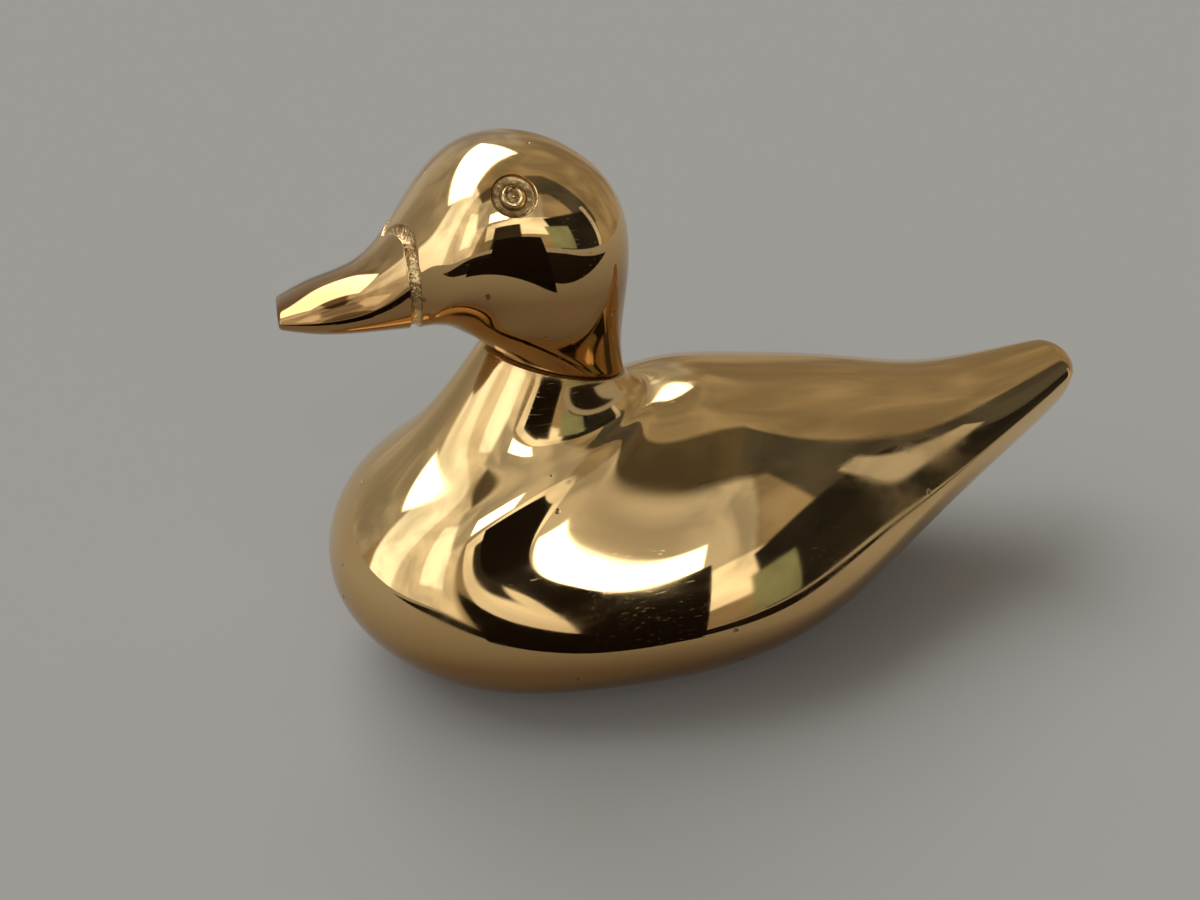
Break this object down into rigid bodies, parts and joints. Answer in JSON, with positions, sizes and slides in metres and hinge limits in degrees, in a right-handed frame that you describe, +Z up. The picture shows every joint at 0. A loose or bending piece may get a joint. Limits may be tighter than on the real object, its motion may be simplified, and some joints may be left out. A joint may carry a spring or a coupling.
{
  "type": "duck figurine",
  "caption": "Mirror-polished cast brass duck at rest, with a hollow body open underneath and a separately cast head whose spigot is brazed into the neck collar.",
  "frame": {"origin": "centre of the bounding box on the plane that the ground rim stands on", "axes": "+X from the bill towards the tail, so the duck faces -X; -Y is the duck's left side, which the picture shows; +Z is up"},
  "size_m": [0.1654, 0.0792, 0.0976],
  "materials": {
    "body_brass": "mirror polished outside, dull as cast inside",
    "head_brass": "mirror polished, with dull as-cast floors in the eyes and in the groove round the bill",
    "braze_alloy": "dull, hidden in the joint"
  },
  "bodies": {
    "root": {"body_casting": "body_brass", "head_casting": "head_brass", "neck_braze": "braze_alloy"}
  },
  "joints": []
}
